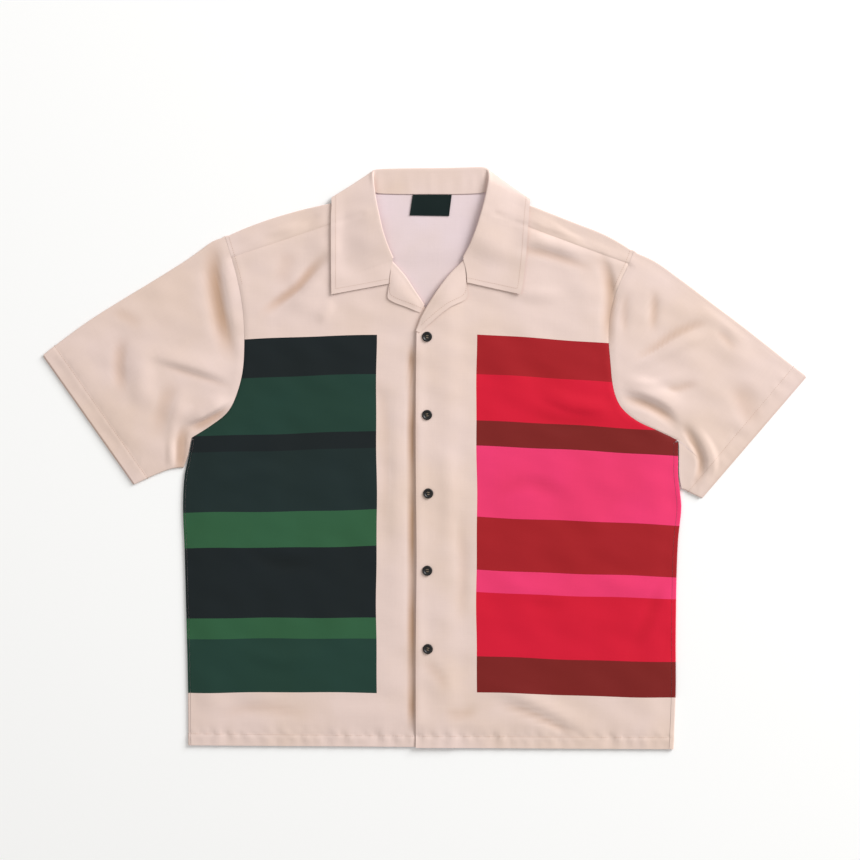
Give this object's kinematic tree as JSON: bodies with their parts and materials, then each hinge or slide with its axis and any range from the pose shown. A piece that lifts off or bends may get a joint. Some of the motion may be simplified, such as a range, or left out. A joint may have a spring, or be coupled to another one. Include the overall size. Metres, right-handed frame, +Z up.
{
  "type": "camp-collar short-sleeve shirt",
  "caption": "Boxy woven shirt laid flat, front up: notched camp collar, buttoned front, short sleeves, colour-blocked fronts and a bare neck label.",
  "frame": {"origin": "under the middle of the shirt's box, on the surface it lies on", "axes": "+X to the viewer's right (the wearer's left), +Y from hem to collar, +Z up from the surface"},
  "size_m": [0.9536, 0.7276, 0.0107],
  "materials": {
    "cloth_plain": "light plain weave with a soft sheen",
    "cloth_back_print": "the plain cloth, with the fronts' bands carried round its sides",
    "cloth_green_print": "the same cloth, printed in greens",
    "cloth_red_print": "the same cloth, printed in pink and reds",
    "label_cloth": "smooth woven label, bare",
    "button": "dark polished plastic"
  },
  "bodies": {
    "root": {"back": "cloth_back_print", "front_right": "cloth_green_print", "front_left": "cloth_red_print", "facing_right": "cloth_plain", "facing_left": "cloth_plain", "collar": "cloth_plain", "sleeve_right": "cloth_plain", "sleeve_left": "cloth_plain", "label": "label_cloth", "button_1": "button", "button_2": "button", "button_3": "button", "button_4": "button", "button_5": "button"}
  },
  "joints": []
}
